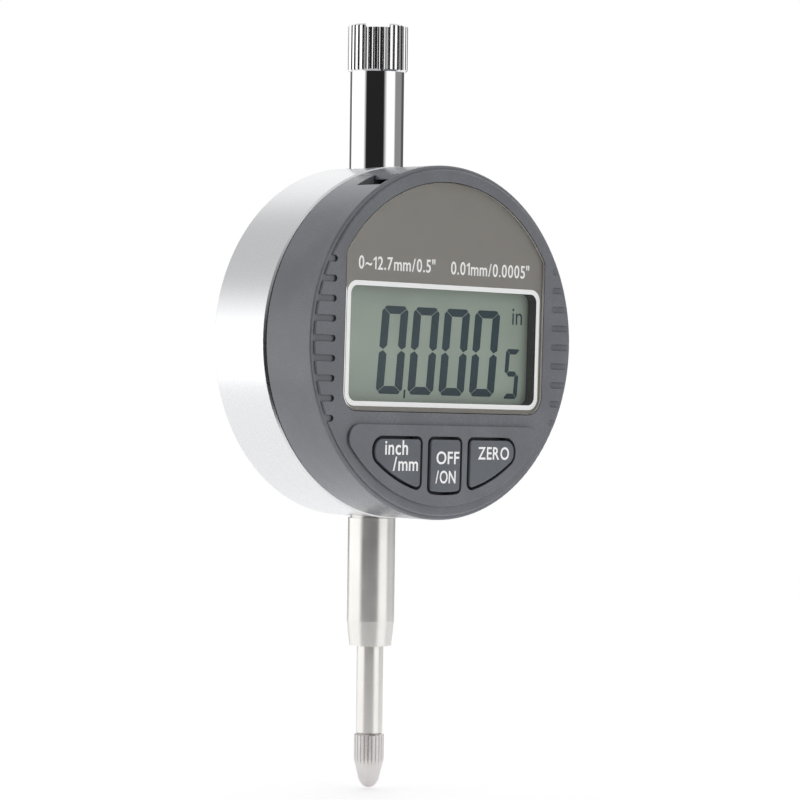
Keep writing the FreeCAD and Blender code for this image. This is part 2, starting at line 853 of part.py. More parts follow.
def key_shape(name, sides, margin, low, high):
    """A button's outline, grown by a margin: three straight sides over an arc about the centre."""
    disc = cylinder(name + "_arc", "button_arc + (%s)" % margin, low, high)
    span = ("(%s) - (%s)" % (sides[0], margin), "(%s) + (%s)" % (sides[1], margin))
    heights = ("-(button_arc + over)", "button_top + (%s)" % margin)
    blank = shared(name + "_blank", disc, block(name + "_sides", span, heights, (low, high)))
    middle = number("side_plunger_x")

    def inner(edge):
        return stands(edge) and abs(edge.Vertexes[0].X) < middle

    def outer(edge):
        return stands(edge) and abs(edge.Vertexes[0].X) > middle

    doc.recompute()
    shape = edged("Fillet", name + "_inner", blank, "inner_corner + (%s)" % margin, inner)
    if sides == both_sides("middle_half_width"):
        return shape
    doc.recompute()
    return edged("Fillet", name, shape, "outer_corner + (%s)" % margin, outer)


def lens_shape(name, margin, back, front):
    """The lens's outline: an arc about the body's centre over two straight sides."""
    disc = cylinder(name + "_arc", "lens_radius + (%s)" % margin, back, front)
    half = "lens_half_width + (%s)" % margin
    low = "lens_low - (%s)" % margin
    high = "lens_radius + over"
    corners = [("-(%s)" % half, low), (half, low), (half, high), ("-(%s)" % half, high)]
    sides = padded(name + "_sides", corners, back, front)
    for index in (0, 1):
        spot = stands_near(*corners[index])
        rounded(sides, "%s_corner%d" % (name, index), "lens_corner + (%s)" % margin, spot)
    return shared(name, disc, sides)


def window_shape(name, margin, back, front):
    """The window's rounded rectangle."""
    half_x = "window_half_width + (%s)" % margin
    half_y = "window_half_height + (%s)" % margin
    low, high = "window_middle - (%s)" % half_y, "window_middle + (%s)" % half_y
    corners = [("-(%s)" % half_x, low), (half_x, low), (half_x, high), ("-(%s)" % half_x, high)]
    body = padded(name, corners, back, front)
    return rounded(body, name + "_corners", "window_corner", stands)


def shell_panel():
    """The raised D-shaped panel round the buttons."""
    disc = cylinder("panel_arc", "panel_radius", "lens_back", "panel_front")
    half = both_sides("panel_radius + over")
    side = block("panel_side", half, (half[0], "panel_top"), ("lens_back", "panel_front"))
    blank = shared("panel_blank", disc, side)
    doc.recompute()
    rounded_blank = edged("Fillet", "panel_corners", blank, "panel_corner", stands)
    doc.recompute()
    return edged("Fillet", "panel", rounded_blank, "panel_edge", lies_at("panel_front"))


def grip_grooves():
    """The short grooves on both sides of the face, open to the rim."""
    tools = []
    last = int(number("groove_count"))
    middle = "groove_start + groove_width / 2"
    floor = "shoulder"
    for name, side in SIDES:
        for index in range(-last, last + 1):
            height = "%d * groove_pitch" % index
            span = sorted(("%s(%s)" % (side, middle), "%s(rim_radius + over)" % side), key=number)
            edge = ("%s - groove_width / 2" % height, "%s + groove_width / 2" % height)
            tag = "%s_groove%d" % (name, index + last)
            tools.append(block(tag, span, edge, (floor, "rim_front + over")))
            x = "%s(%s)" % (side, middle)
            tools.append(cylinder(tag + "_end", "groove_width / 2", floor, "rim_front + over", x, height))
    return tools


def drawer_slot():
    """The way through the shell's wall for the battery drawer."""
    outside = cylinder("slot_outside", "shell_radius + over", "slot_back", "slot_front")
    inside = cylinder("slot_inside", "shell_bore - running", "slot_back", "slot_front")
    band = cut("slot_band", outside, inside)
    span = ("slot_back", "slot_front")
    gate = block("slot_gate", both_sides("slot_half_width"), ("boss_reach", "shell_radius + over"), span)
    return shared("slot_tool", band, gate)


def nail_recess():
    """A ramp cut into the shell beside the drawer, for a fingernail."""
    start = around("-shell_radius", 90 - number("nail_start"))
    end = around("-(shell_radius + over)", 90 - number("nail_end"))
    deep = around("-(shell_radius - nail_depth)", 90 - number("nail_end"))
    points = [(start[0], "-(%s)" % start[1]), (deep[0], "-(%s)" % deep[1]), (end[0], "-(%s)" % end[1])]
    return padded("nail_recess", points, "nail_back", "nail_front")


RING_SCREWS = ((-1, -1), (-1, 1), (1, -1), (1, 1))


def ring_screw_place(signs):
    """Two expressions for the ring screw in one of the four quarters."""
    x, y = around("ring_screw_circle", number("ring_screw_turn"))
    return "%d * %s" % (signs[0], x), "%d * %s" % (signs[1], y)


def board_screw_places():
    """The places of the four screws that hold the display board."""
    places = []
    for sign in (-1, 1):
        places.append(("%d * board_screw_upper_x" % sign, "board_screw_upper_y"))
        places.append(("%d * board_screw_lower_x" % sign, "board_screw_lower_y"))
    return places


def make_front_shell():
    cup = turned("shell_cup", [
        ("shell_bore", "0"),
        ("shell_radius", "0"),
        ("shell_radius", "shoulder"),
        ("rim_radius", "shoulder"),
        ("rim_radius", "rim_front"),
        ("0", "rim_front"),
        ("0", "wall_back"),
        ("shell_bore", "wall_back"),
    ])
    rounded(cup, "shoulder_edge", "shoulder_round", lambda edge: is_circle(edge, "shell_radius", "shoulder"))
    rounded(cup, "rim_edge", "rim_round", lambda edge: is_circle(edge, "rim_radius", "rim_front"))
    solids = [cup, shell_panel()]
    cuts = [
        lens_shape("lens_recess", "lens_gap", "lens_back", "panel_front + over"),
        window_shape("window_hole", "collar_wall + gap", "wall_back - over", "lens_back + gap"),
        drawer_slot(),
        nail_recess(),
    ]
    cuts += grip_grooves()
    low, high = "wall_back - over", "panel_front + over"
    for name, (sides, x, y) in BUTTONS.items():
        cuts.append(key_shape(name + "_hole", sides, "button_gap", low, high))
    for index, signs in enumerate(RING_SCREWS):
        x, y = ring_screw_place(signs)
        boss = cylinder("shell_boss%d" % index, "shell_boss_radius", "plate_thickness", "wall_back", x, y)
        solids.append(boss)
        tap = cylinder("shell_tap%d" % index, "screw_radius", "plate_thickness", "ring_screw_front", x, y)
        cuts.append(tap)
    for index, (x, y) in enumerate(board_screw_places()):
        boss = cylinder("board_boss%d" % index, "board_boss_radius", "board_front", "wall_back", x, y)
        solids.append(boss)
        tap = cylinder("board_tap%d" % index, "board_screw_radius", "board_front", "board_screw_front", x, y)
        cuts.append(tap)
    on_face(cut("front_shell", fused("shell_solid", *solids), *cuts))


def is_circle(edge, radius, height):
    """Whether an edge is the circle of a radius about the axis, at a height."""
    round_edge = hasattr(edge.Curve, "Radius") and abs(edge.Curve.Radius - number(radius)) < 1e-4
    return round_edge and abs(edge.BoundBox.ZMin - number(height)) < 1e-4


def make_lens():
    plate = lens_shape("lens_plate", "0", "lens_back", "lens_front")
    doc.recompute()
    on_face(edged("Chamfer", "lens", plate, "lens_edge", lies_at("lens_front")))


def make_display():
    tall = ("window_middle - holder_half_height", "window_middle + holder_half_height")
    frame_z = ("board_front", "wall_back - running")
    frame = block("holder_frame", both_sides("holder_half_width"), tall, frame_z)
    pocket_y = ("window_middle - glass_half_height - running", "window_middle + glass_half_height + running")
    pocket_x = both_sides("glass_half_width + running")
    pocket = block("holder_pocket", pocket_x, pocket_y, ("board_front", "holder_lip"))
    collar = window_shape("holder_collar", "collar_wall", "holder_lip", "lens_back - gap")
    opening = window_shape("holder_window", "0", "board_front", "lens_back")
    on_face(cut("lcd_holder", fused("holder_body", frame, collar), pocket, opening))
    glass_y = ("window_middle - glass_half_height", "window_middle + glass_half_height")
    glass_z = ("glass_back", "glass_front")
    glass = block("glass_plates", both_sides("glass_half_width"), glass_y, glass_z)
    on_face(group("lcd_panel", [glass]))
    strips = []
    strip_x = both_sides("strip_half_width")
    strip_z = ("board_front", "glass_back")
    edge = "glass_half_height - gap"
    for name, low, high in (
        ("lower", "window_middle - (%s)" % edge, "window_middle - (%s) + strip_height" % edge),
        ("upper", "window_middle + %s - strip_height" % edge, "window_middle + %s" % edge),
    ):
        strips.append(block(name + "_strip", strip_x, (low, high), strip_z))
    on_face(group("zebra_strips", strips))


def make_display_board():
    disc = cylinder("board_disc", "board_radius", "board_back", "board_front")
    span = ("board_back", "board_front")
    cropped = block("board_crop", both_sides("board_radius"), ("board_low", "board_top"), span)
    holes = []
    screws = []
    for index, signs in enumerate(RING_SCREWS):
        x, y = ring_screw_place(signs)
        holes.append(cylinder("board_notch%d" % index, "board_notch", "board_back", "board_front", x, y))
    for index, (x, y) in enumerate(board_screw_places()):
        radius = "board_screw_radius"
        holes.append(cylinder("board_hole%d" % index, radius, "board_back", "board_front", x, y))
        shank = cylinder("board_shank%d" % index, radius, "board_back", "board_screw_front", x, y)
        head_back = "board_back - pan_head_height"
        head = cylinder("board_head%d" % index, "board_screw_head", head_back, "board_back", x, y)
        screws.append(fused("board_screw%d" % index, shank, head))
    on_face(cut("display_board", shared("board_blank", disc, cropped), *holes))
    on_face(group("board_screws", screws))
    blob = doc.addObject("Part::Cone", "display_chip_blob")
    blob.setExpression("Radius1", bound("blob_top_radius"))
    blob.setExpression("Radius2", bound("blob_radius"))
    blob.setExpression("Height", bound("blob_height"))
    move(blob, "0", "blob_low", "board_back - blob_height")
    on_face(group("display_chip", [blob]))
    domes = []
    dome_step = "board_front + dome_height"
    dome_peak = dome_step + " + dome_top_height"
    for name, (sides, x, y) in BUTTONS.items():
        foot = cylinder(name + "_dome_foot", "dome_radius", "board_front", dome_step, x, y)
        top = cylinder(name + "_dome_top", "dome_top_radius", dome_step, dome_peak, x, y)
        domes.append(fused(name + "_dome", foot, top))
    on_face(group("dome_switches", domes))


def make_battery_contacts():
    width = both_sides("contact_half_width")
    pad_z = ("board_back - contact_thickness", "board_back")
    on_face(group("minus_contact", [block("minus_strip", width, ("pad_low", "pad_top"), pad_z)]))
    leaf_y = ("leaf_low", "leaf_low + leaf_thickness")
    on_face(group("plus_contact", [block("plus_leaf", width, leaf_y, ("leaf_back", "board_back"))]))


def make_turntable():
    disc = cylinder("plate_disc", "plate_radius", "0", "plate_thickness")
    land_disc = cylinder("land_disc", "land_radius", "0", "plate_thickness")
    pin_share = math.degrees(math.asin(number("pin_radius / pin_circle")))
    half_land = 180 - number("turn_each_way") - pin_share - number("stop_margin")
    edge = around("2 * land_radius", 90 - half_land)
    corners = [("0", "0"), edge, ("-(%s)" % edge[0], edge[1])]
    wedge = padded("land_wedge", corners, "0", "plate_thickness")
    land = shared("stop_land", land_disc, wedge)
    holes = [cylinder("plate_middle", "plate_hole", "0", "plate_thickness")]
    for index, signs in enumerate(RING_SCREWS):
        x, y = ring_screw_place(signs)
        holes.append(cylinder("plate_hole%d" % index, "screw_clear_radius", "0", "plate_thickness", x, y))
    on_face(cut("turntable_plate", fused("plate_solid", disc, land), *holes))


def make_retaining_ring():
    ring = turned("ring_turned", [
        ("ring_bore", "0"),
        ("hub_radius", "0"),
        ("hub_radius", "ring_front"),
        ("ring_radius", "ring_front"),
        ("ring_radius", "ring_back"),
        ("ring_bore", "ring_back"),
    ])
    holes = []
    screws = []
    for index, signs in enumerate(RING_SCREWS):
        x, y = ring_screw_place(signs)
        holes.append(cylinder("ring_hole%d" % index, "screw_radius", "ring_back", "0", x, y))
        shank = cylinder("ring_shank%d" % index, "screw_radius", "ring_back", "ring_screw_front", x, y)
        head_back = "ring_back - pan_head_height"
        head = cylinder("ring_head%d" % index, "pan_head_radius", head_back, "ring_back", x, y)
        drive = cross_recess("ring_drive%d" % index, x, y, head_back, head_back + " + recess_depth / 2")
        screws.append(cut("ring_screw%d" % index, fused("ring_screw_solid%d" % index, shank, head), drive))
    on_face(cut("retaining_ring", ring, *holes))
    on_face(group("ring_screws", screws))


def make_buttons():
    plunger_back = "board_front + dome_height + dome_top_height + button_travel + running"
    for name, (sides, x, y) in BUTTONS.items():
        blank = key_shape(name + "_cap", sides, "0", "button_back", "button_front")
        doc.recompute()
        cap = edged("Fillet", name + "_edge", blank, "button_round", lies_at("button_front"))
        flange = key_shape(name + "_flange", sides, "button_flange", "flange_back", "flange_front")
        plunger = cylinder(name + "_plunger", "plunger_radius", plunger_back, "flange_back", x, y)
        on_face(fused(name, cap, flange, plunger))


def make_battery_drawer():
    span = ("lid_back", "lid_front")
    outside = cylinder("lid_outside", "shell_radius", *span)
    inside = cylinder("lid_inside", "lid_inner", *span)
    gate = block("lid_gate", both_sides("lid_half_width"), ("boss_reach", "shell_radius + over"), span)
    notch_x = ("-(lid_half_width + over)", "-lid_notch_reach")
    notch = block("lid_notch", notch_x, ("arm_top - over", "lid_notch_top"), ("nail_back", "nail_front"))
    lid = cut("lid", shared("lid_blank", cut("lid_band", outside, inside), gate), notch)
    pieces = [lid]
    for name, side in SIDES:
        span_x = sorted((side + "arm_inner", side + "lid_half_width"), key=number)
        pieces.append(block(name + "_arm", span_x, ("arm_low", "arm_top"), ("tray_back", "tray_front")))
    floor_y = ("floor_low", "floor_top")
    floor_z = ("tray_back", "tray_floor")
    pieces.append(block("tray_floor_plate", both_sides("lid_half_width"), floor_y, floor_z))
    on_face(fused("battery_drawer", *pieces))
    cell = turned("coin_cell_can", [
        ("0", "tray_floor"),
        ("cell_radius", "tray_floor"),
        ("cell_radius", "cell_step"),
        ("cell_step_radius", "cell_step"),
        ("cell_step_radius", "tray_front"),
        ("0", "tray_front"),
    ])
    on_face(group("coin_cell", [move(cell, "0", "cell_height")]))


make_case_ring()
make_back_cover()
make_back_screws()
make_stem()
make_bushes()
make_cover_tube()
make_top_cap()
make_guide_and_stop()
make_return_spring()
make_encoder_head()
make_friction_ring()
make_spindle()
make_contact()
make_slider()
make_front_shell()
make_lens()
make_display()
make_display_board()
make_battery_contacts()
make_turntable()
make_retaining_ring()
make_buttons()
make_battery_drawer()

doc.recompute()

for thing in doc.Objects:
    if "Invalid" in thing.State or "Error" in thing.State:
        raise RuntimeError("%s failed: %s" % (thing.Name, thing.State))
for node in NODES:
    if node.Shape.isNull() or not node.Shape.isValid() or not node.Shape.Solids:
        raise RuntimeError("%s has no valid solid" % node.Label)

os.makedirs("parts", exist_ok=True)
for node in NODES:
    node.Shape.exportStep("parts/%s.step" % node.Label)
    print("%-18s %2d solid(s) %10.2f mm3" % (node.Label, len(node.Shape.Solids), node.Shape.Volume))
print(len(NODES), "nodes")
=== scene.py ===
"""The looks of a digital dial indicator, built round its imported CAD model.

Everything is in metres in the row frame: +X to the right of somebody who faces the display, +Y away
from them, +Z up, and the origin in the middle of the clamping stem.
"""

import json
import math

import bmesh
import bpy
from mathutils import Matrix, Vector


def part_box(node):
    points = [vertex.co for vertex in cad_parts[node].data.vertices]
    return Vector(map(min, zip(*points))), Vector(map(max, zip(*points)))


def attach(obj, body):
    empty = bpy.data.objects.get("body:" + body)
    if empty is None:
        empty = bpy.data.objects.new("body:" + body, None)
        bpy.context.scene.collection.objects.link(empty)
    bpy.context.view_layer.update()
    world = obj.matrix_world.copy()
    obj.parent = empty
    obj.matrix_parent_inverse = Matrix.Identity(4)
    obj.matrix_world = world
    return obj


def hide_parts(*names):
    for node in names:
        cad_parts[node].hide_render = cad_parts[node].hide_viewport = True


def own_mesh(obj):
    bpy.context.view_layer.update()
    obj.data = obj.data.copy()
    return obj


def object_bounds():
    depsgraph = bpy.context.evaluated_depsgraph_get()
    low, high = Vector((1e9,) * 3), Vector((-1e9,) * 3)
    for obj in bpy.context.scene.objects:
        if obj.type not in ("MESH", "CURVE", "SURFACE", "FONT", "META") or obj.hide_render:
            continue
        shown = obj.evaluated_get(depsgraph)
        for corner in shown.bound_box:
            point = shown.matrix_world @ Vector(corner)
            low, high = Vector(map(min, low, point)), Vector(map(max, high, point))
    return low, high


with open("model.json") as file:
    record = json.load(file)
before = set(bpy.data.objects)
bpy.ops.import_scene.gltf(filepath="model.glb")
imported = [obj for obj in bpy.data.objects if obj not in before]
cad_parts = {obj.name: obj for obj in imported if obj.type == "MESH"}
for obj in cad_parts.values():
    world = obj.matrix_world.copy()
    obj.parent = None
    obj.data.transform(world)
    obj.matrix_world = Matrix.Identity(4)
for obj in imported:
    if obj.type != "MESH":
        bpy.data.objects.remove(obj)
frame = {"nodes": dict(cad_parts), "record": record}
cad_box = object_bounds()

MM = 0.001
PRINT = 0.02  # thickness of printed ink, in millimetres

# ---------------------------------------------------------------------------------------------
# Places that come from the CAD
# ---------------------------------------------------------------------------------------------

shell_low, shell_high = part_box("front_shell")
DIAL_HEIGHT = (shell_low[2] + shell_high[2]) / 2
SHELL_BACK = shell_high[1]
FACE_TURN = math.radians(1.18)  # the face stands turned, clockwise for its reader


def before_shell_back(y):
    """How far a place stands before the shell's rear edge, in millimetres."""
    return (SHELL_BACK - y) / MM


LENS_BACK = before_shell_back(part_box("lens")[1][1])
LCD_FRONT = before_shell_back(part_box("lcd_panel")[0][1])
KEY_FRONT = before_shell_back(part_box("unit_button")[0][1])

# The face's own view: x to the right, y up and z towards the reader, in millimetres.
FACE = (
    Matrix.Translation((0, SHELL_BACK, DIAL_HEIGHT))
    @ Matrix.Rotation(FACE_TURN, 4, "Y")
    @ Matrix.Rotation(math.radians(90), 4, "X")
    @ Matrix.Scale(MM, 4)
)

# ---------------------------------------------------------------------------------------------
# Shader nodes
# ---------------------------------------------------------------------------------------------


def put(tree, socket, value):
    """Sets a socket, or links it when the value is another node's output."""
    if isinstance(value, bpy.types.NodeSocket):
        tree.links.new(value, socket)
    else:
        socket.default_value = value


def add(tree, kind, settings=None, **inputs):
    """A shader node; each input is a value or another node's output."""
    node = tree.nodes.new("ShaderNode" + kind)
    for name, value in (settings or {}).items():
        setattr(node, name, value)
    for name, value in inputs.items():
        put(tree, node.inputs[name.replace("_", " ")], value)
    return node


def maths(tree, operation, *values):
    """One arithmetic step."""
    node = add(tree, "Math", {"operation": operation})
    for socket, value in zip(node.inputs, values):
        put(tree, socket, value)
    return node.outputs[0]


def spread(tree, value, low, high, from_low=0.35, from_high=0.65):
    """A value stretched over a range; unless told otherwise it starts as noise does, near a half."""
    node = add(tree, "MapRange", None, Value=value, From_Min=from_low, From_Max=from_high, To_Min=low, To_Max=high)
    return node.outputs[0]


def blended(tree, factor, first, second):
    """Two colours mixed by how much of the second there is."""
    node = add(tree, "Mix", {"data_type": "RGBA"})
    for socket, value in zip((node.inputs[0], node.inputs[6], node.inputs[7]), (factor, first, second)):
        put(tree, socket, value)
    return node.outputs[2]


def mixture(tree, share, first, second):
    """Two shaders mixed by how much of the second there is."""
    node = add(tree, "MixShader")
    for socket, value in zip(node.inputs, (share, first.outputs[0], second.outputs[0])):
        put(tree, socket, value)
    return node


def place(tree, scale):
    """The object's own coordinates, in metres, stretched by a scale for each axis."""
    source = add(tree, "TexCoord").outputs["Object"]
    return add(tree, "Mapping", Vector=source, Scale=scale).outputs[0]


def noise(tree, scale, detail=3.0):
    """Noise whose cells are 1 / scale metres along each axis."""
    return add(tree, "TexNoise", Vector=place(tree, scale), Scale=1.0, Detail=detail, Roughness=0.55).outputs[0]


def even(scale):
    """The same scale along each axis."""
    return (scale, scale, scale)


def tone(colour, times=1.0):
    """A colour made lighter or darker, as four channels."""
    return [min(1.0, channel * times) for channel in colour] + [1.0]


def roughened(tree, shader, height, distance, strength, normal=None):
    """Bumps on a shader's surface, from a height."""
    bump = add(tree, "Bump", Height=height, Distance=distance, Strength=strength)
    if normal:
        put(tree, bump.inputs["Normal"], normal)
    put(tree, shader.inputs["Normal"], bump.outputs[0])


def start(name):
    """A new material, its node tree and its shader."""
    made = bpy.data.materials.new(name)
    made.use_nodes = True
    tree = made.node_tree
    return made, tree, tree.nodes["Principled BSDF"]


def worn_edges(tree, radius):
    """(softened normal, how near an edge the point is) from a small bevel."""
    bevel = add(tree, "Bevel", {"samples": 4}, Radius=radius).outputs[0]
    dot = add(tree, "VectorMath", {"operation": "DOT_PRODUCT"})
    put(tree, dot.inputs[0], bevel)
    put(tree, dot.inputs[1], add(tree, "NewGeometry").outputs["Normal"])
    return bevel, spread(tree, dot.outputs["Value"], 1.0, 0.0, 0.80, 0.995)


def facing(tree):
    """1 on the surfaces that face the reader or the back, 0 on those that stand upright to them."""
    normal = add(tree, "SeparateXYZ", Vector=add(tree, "NewGeometry").outputs["True Normal"])
    return maths(tree, "ABSOLUTE", normal.outputs["Y"])


def painted_crevice_shade(tree, reach):
    """Painted shade, as the share of light left: 1 on open faces, less in a corner or a gap, and least on the low
    walls of a step or a groove.
    """
    near = add(tree, "AmbientOcclusion", {"samples": 8}, Distance=reach).outputs["AO"]
    wall = spread(tree, facing(tree), 1.0, 0.0, 0.2, 0.8)
    on_floor = spread(tree, near, 0.15, 1.0, 0.25, 0.70)
    on_wall = spread(tree, near, 0.0, 1.0, 0.40, 0.80)
    return maths(tree, "ADD", maths(tree, "MULTIPLY", wall, on_wall),
                 maths(tree, "MULTIPLY", maths(tree, "SUBTRACT", 1.0, wall), on_floor))


# ---------------------------------------------------------------------------------------------
# Materials
# ---------------------------------------------------------------------------------------------

CREVICE_SHADE_REACH = 0.6 * MM  # how near a wall must be for the painted shade that darkens plastic
RUBBED = 1.35  # plastic's edges against its faces
POLISHED = 1.1  # metal's edges against its faces


def metal(name, colour, roughness, grain, depth, edge, spots=0.03, streak=0.25, drawn=0.0):
    """Bare metal: grain is the scale of its tool marks, which are fine across and long along them."""
    made, tree, shader = start(name)
    normal, near = worn_edges(tree, edge * MM)
    marks = noise(tree, grain, 2.0)
    cloud = noise(tree, even(180), 4.0)
    base = blended(tree, spread(tree, marks, 0.0, 1.0), tone(colour, 1.0 - 0.3 * streak), tone(colour))
    put(tree, shader.inputs["Base Color"], blended(tree, near, base, tone(colour, POLISHED)))
    shader.inputs["Metallic"].default_value = 1.0
    rough = maths(tree, "ADD", spread(tree, marks, -streak * roughness, streak * roughness),
                  spread(tree, cloud, roughness - spots, roughness + spots))
    put(tree, shader.inputs["Roughness"], rough)
    if drawn:  # fine rings round the Z axis spread what the bar mirrors along it
        shader.inputs["Anisotropic"].default_value = drawn
        shader.inputs["Anisotropic Rotation"].default_value = 0.25
        around = add(tree, "Tangent", {"direction_type": "RADIAL", "axis": "Z"})
        put(tree, shader.inputs["Tangent"], around.outputs[0])
    roughened(tree, shader, marks, 0.01 * MM, depth, normal)
    return made


def plastic(name, colour, roughness, grain=5200, depth=0.16, edge=0.12):
    """Moulded plastic with a fine spark-eroded texture, slightly polished edges, and painted shade that darkens
    its gaps, corners and the low walls of its steps and grooves.
    """
    made, tree, shader = start(name)
    normal, near = worn_edges(tree, edge * MM)
    fine = noise(tree, even(grain), 2.0)
    cloud = noise(tree, even(120), 4.0)
    base = blended(tree, spread(tree, cloud, 0.0, 1.0), tone(colour, 0.94), tone(colour, 1.06))
    open_tone = blended(tree, near, base, tone(colour, RUBBED))
    # painted shade: the colour falls to a tenth in corners, in gaps and on the low walls of steps and grooves
    put(tree, shader.inputs["Base Color"], blended(tree, painted_crevice_shade(tree, CREVICE_SHADE_REACH), tone(colour, 0.1), open_tone))
    rough = maths(tree, "ADD", spread(tree, cloud, roughness - 0.04, roughness + 0.04),
                  spread(tree, fine, -0.05, 0.05))
    put(tree, shader.inputs["Roughness"], maths(tree, "SUBTRACT", rough, maths(tree, "MULTIPLY", near, 0.08)))
    roughened(tree, shader, fine, 0.02 * MM, depth, normal)
    return made


def circuit(name):
    """A green circuit board: tracks and solder pads under the mask."""
    made, tree, shader = start(name)
    tracks = add(tree, "TexBrick", Vector=place(tree, even(420)), Scale=1.0, Color1=(0.03, 0.20, 0.09, 1),
                 Color2=(0.02, 0.14, 0.07, 1), Mortar=(0.06, 0.30, 0.12, 1), Mortar_Size=0.05)
    put(tree, shader.inputs["Base Color"], tracks.outputs["Color"])
    put(tree, shader.inputs["Roughness"], spread(tree, noise(tree, even(900)), 0.22, 0.36))
    roughened(tree, shader, tracks.outputs["Fac"], 0.02 * MM, 0.4)
    return made


def clear_plastic(name):
    """Polished acrylic that bends light, its sawn edge frosted; lamps go straight through it."""
    made, tree, shader = start(name)
    haze = noise(tree, even(350))
    tint = (0.97, 0.975, 0.97, 1)
    glass = add(tree, "BsdfGlass", Color=tint, Roughness=spread(tree, haze, 0.0, 0.02), IOR=1.46)
    through = add(tree, "BsdfTransparent", Color=tint)
    rays = add(tree, "LightPath").outputs
    clear = mixture(tree, maths(tree, "MAXIMUM", rays["Is Shadow Ray"], rays["Is Diffuse Ray"]), glass, through)
    on_edge = maths(tree, "LESS_THAN", facing(tree), 0.3)
    shader.inputs["Base Color"].default_value = (0.78, 0.75, 0.70, 1)
    put(tree, shader.inputs["Roughness"], spread(tree, haze, 0.5, 0.7))
    put(tree, tree.nodes["Material Output"].inputs["Surface"], mixture(tree, on_edge, clear, shader).outputs[0])
    return made


def display_glass(name):
    """The display's reflective polariser: a slightly uneven grey-green with a fine sparkle."""
    made, tree, shader = start(name)
    cloud = noise(tree, even(70), 2.0)
    sparkle = noise(tree, even(7000), 2.0)
    base = blended(tree, spread(tree, cloud, 0.0, 1.0), (0.388, 0.462, 0.393, 1), (0.441, 0.521, 0.446, 1))
    put(tree, shader.inputs["Base Color"], base)
    put(tree, shader.inputs["Roughness"], spread(tree, sparkle, 0.30, 0.42))
    roughened(tree, shader, sparkle, 0.01 * MM, 0.1)
    return made


def print_ink(name, colour, roughness, grain=2600, uneven=0.06, painted_glow=0.0, gloss=0.0):
    """Screen-printed ink, very slightly uneven; with a glow it also has painted light that lifts it above what its
    lamps give.
    """
    made, tree, shader = start(name)
    cloud = noise(tree, even(grain))
    base = blended(tree, spread(tree, cloud, 0.0, 1.0), tone(colour, 1.0 - uneven), tone(colour))
    put(tree, shader.inputs["Base Color"], base)
    put(tree, shader.inputs["Roughness"], spread(tree, cloud, roughness - 0.05, roughness + 0.05))
    shader.inputs["Specular IOR Level"].default_value = gloss
    # painted light: the ink glows a little, brighter than its lamps alone make it
    if painted_glow:
        shader.inputs["Emission Color"].default_value = tone(colour)
        shader.inputs["Emission Strength"].default_value = painted_glow
    roughened(tree, shader, cloud, 0.01 * MM, 2.5 * uneven)
    return made


ROUND_Y = (150, 9000, 150)  # marks that run round the Y axis
ROUND_Z = (150, 150, 7000)  # marks that run round the Z axis

# Each finish: how it is made, its colour and roughness, and what else its maker takes.
LOOKS = {
    "satin_case": (metal, (0.80, 0.805, 0.815), 0.28,
                   dict(grain=ROUND_Y, depth=0.04, edge=0.15, spots=0.006, streak=0.05)),
    "chrome": (metal, (0.86, 0.86, 0.87), 0.045, dict(grain=even(60), depth=0.02, edge=0.03, spots=0.01)),
    "stem_steel": (metal, (0.86, 0.84, 0.81), 0.34,
                   dict(grain=ROUND_Z, depth=0.025, edge=0.06, streak=0.06, drawn=0.85)),
    "screw_steel": (metal, (0.56, 0.56, 0.56), 0.22, dict(grain=even(900), depth=0.15, edge=0.05)),
    # carbide is darker than steel, and its colour is lowered further as painted shade for the darker surroundings
    # the tip mirrors
    "carbide": (metal, (0.69, 0.66, 0.65), 0.16, dict(grain=even(500), depth=0.05, edge=0.02)),
    # painted shade: a darker steel for the contact point, standing in for the dark surroundings it mirrors
    "point_steel": (metal, (0.70, 0.675, 0.665), 0.20, dict(grain=even(500), depth=0.05, edge=0.02)),
    "brass": (metal, (0.72, 0.55, 0.27), 0.22, dict(grain=ROUND_Z, depth=0.2, edge=0.05)),
    "cell_steel": (metal, (0.72, 0.72, 0.71), 0.20, dict(grain=ROUND_Y, depth=0.15, edge=0.1)),
    "shell_plastic": (plastic, (0.199, 0.208, 0.229), 0.25, dict(depth=0.05)),
    "button_plastic": (plastic, (0.154, 0.166, 0.187), 0.36, dict(edge=0.15)),
    "dark_plastic": (plastic, (0.022, 0.021, 0.027), 0.50, {}),
    "black_rubber": (plastic, (0.018, 0.018, 0.020), 0.70, dict(grain=3000, depth=0.3)),
    "zebra": (plastic, (0.34, 0.28, 0.25), 0.60, dict(grain=8000)),
    "black_resin": (plastic, (0.022, 0.022, 0.022), 0.50, dict(grain=6000)),
    "ribbon": (plastic, (0.50, 0.28, 0.07), 0.28, dict(grain=2500, depth=0.05)),
    # painted light: the white print glows a little
    "white_print": (print_ink, (0.88, 0.88, 0.88), 0.50, dict(painted_glow=0.32, gloss=0.2)),
    "lens_print": (print_ink, (0.342, 0.323, 0.300), 0.40, dict(grain=90, uneven=0.02)),
    "lcd_ink": (print_ink, (0.034, 0.067, 0.085), 0.50, {}),
}
FINISHES = {name: make(name, colour, rough, **more) for name, (make, colour, rough, more) in LOOKS.items()}
for finish, maker in (("circuit_board", circuit), ("lens_acrylic", clear_plastic), ("lcd_glass", display_glass)):
    FINISHES[finish] = maker(finish)

SHADED_FINISHES = {"contact_point": "point_steel"}  # the contact point's hardened steel, made darker than the ground steel of its slot as painted shade for the darker surroundings it mirrors

for part in frame["record"]["subparts"]:
    node = frame["nodes"][part["node"]]
    if not node.material_slots:
        node.data.materials.append(None)
    for holder in node.material_slots:
        holder.material = FINISHES[SHADED_FINISHES.get(part["node"], part["material_slot"])]


def compressing_spring():
    """The return spring as a piece of its own on the case, in place of the CAD's spring, which is hidden."""
    name = "return_spring"
    spring = bpy.data.objects.new("compressing_spring", frame["nodes"][name].data.copy())
    bpy.context.collection.objects.link(spring)
    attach(spring, "case")
    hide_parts(name)
    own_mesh(spring)


compressing_spring()

# ---------------------------------------------------------------------------------------------
# Printed and displayed pieces, as thin closed solids on the face
# ---------------------------------------------------------------------------------------------


